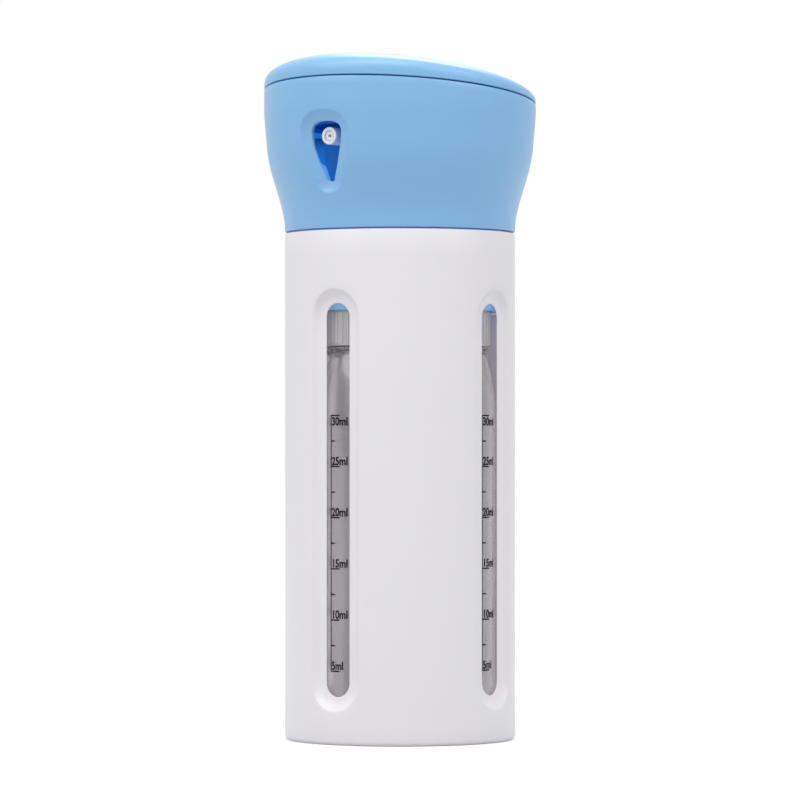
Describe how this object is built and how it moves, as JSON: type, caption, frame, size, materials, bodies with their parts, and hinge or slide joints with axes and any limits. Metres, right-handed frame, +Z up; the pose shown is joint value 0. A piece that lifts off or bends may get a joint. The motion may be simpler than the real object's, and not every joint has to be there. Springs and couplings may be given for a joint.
{
  "type": "travel dispenser bottle",
  "caption": "Round travel dispenser: clear refillable pump bottles in a white windowed sleeve, under a turning pale blue head with an outlet and a press button.",
  "frame": {"origin": "centre of the foot, on the surface it stands on", "axes": "+Z up along the sleeve, -Y towards the outlet, X across it"},
  "size_m": [0.0726, 0.0726, 0.1809],
  "materials": {
    "sleeve_white": "moulded ABS, fine satin, cool white",
    "head_blue": "moulded ABS, satin, pale sky blue",
    "bottle_clear": "blown PET, clear and glossy",
    "closure_natural": "natural polypropylene, translucent",
    "pump_white": "moulded polypropylene, white",
    "gasket_rubber": "soft silicone, off-white",
    "spring_steel": "drawn stainless wire, bright"
  },
  "bodies": {
    "sleeve": {"sleeve": "sleeve_white"},
    "unit": {"carrier": "head_blue", "button_spring": "spring_steel", "bottle_1": "bottle_clear", "closure_1": "closure_natural", "gasket_1": "gasket_rubber", "pump_housing_1": "closure_natural", "valve_ball_1": "spring_steel", "dip_tube_1": "closure_natural", "pump_spring_1": "spring_steel", "collar_1": "pump_white", "bottle_2": "bottle_clear", "closure_2": "closure_natural", "gasket_2": "gasket_rubber", "pump_housing_2": "closure_natural", "valve_ball_2": "spring_steel", "dip_tube_2": "closure_natural", "pump_spring_2": "spring_steel", "collar_2": "pump_white", "bottle_3": "bottle_clear", "closure_3": "closure_natural", "gasket_3": "gasket_rubber", "pump_housing_3": "closure_natural", "valve_ball_3": "spring_steel", "dip_tube_3": "closure_natural", "pump_spring_3": "spring_steel", "collar_3": "pump_white", "bottle_4": "bottle_clear", "closure_4": "closure_natural", "gasket_4": "gasket_rubber", "pump_housing_4": "closure_natural", "valve_ball_4": "spring_steel", "dip_tube_4": "closure_natural", "pump_spring_4": "spring_steel", "collar_4": "pump_white"},
    "head": {"head_shell": "head_blue", "cover": "head_blue"},
    "button": {"press_button": "head_blue"},
    "pump_1": {"piston_stem_1": "pump_white", "actuator_1": "pump_white"},
    "pump_2": {"piston_stem_2": "pump_white", "actuator_2": "pump_white"},
    "pump_3": {"piston_stem_3": "pump_white", "actuator_3": "pump_white"},
    "pump_4": {"piston_stem_4": "pump_white", "actuator_4": "pump_white"}
  },
  "joints": [
    {"name": "unit_lift", "type": "slide", "parent": "sleeve", "child": "unit", "axis": [0, 0, 1], "range_m": [0, 0.14]},
    {"name": "head_turn", "type": "hinge", "parent": "unit", "child": "head", "pos_m": [0, 0, 0.143], "axis": [0, 0, 1], "continuous": true},
    {"name": "button_press", "type": "slide", "parent": "head", "child": "button", "axis": [0, 0, -1], "range_m": [0, 0.004], "stiffness_N_per_m": 900, "springref_m": -0.002, "deforming": ["button_spring"]},
    {"name": "pump_1", "type": "slide", "parent": "unit", "child": "pump_1", "axis": [0, 0, -1], "range_m": [0, 0.004], "stiffness_N_per_m": 1500, "springref_m": -0.002, "deforming": ["pump_spring_1"]},
    {"name": "pump_2", "type": "slide", "parent": "unit", "child": "pump_2", "axis": [0, 0, -1], "range_m": [0, 0.004], "stiffness_N_per_m": 1500, "springref_m": -0.002, "deforming": ["pump_spring_2"]},
    {"name": "pump_3", "type": "slide", "parent": "unit", "child": "pump_3", "axis": [0, 0, -1], "range_m": [0, 0.004], "stiffness_N_per_m": 1500, "springref_m": -0.002, "deforming": ["pump_spring_3"]},
    {"name": "pump_4", "type": "slide", "parent": "unit", "child": "pump_4", "axis": [0, 0, -1], "range_m": [0, 0.004], "stiffness_N_per_m": 1500, "springref_m": -0.002, "deforming": ["pump_spring_4"]}
  ],
  "couplings": [
    {"joint": "pump_1", "follows": "button_press", "ratio": 1}
  ]
}
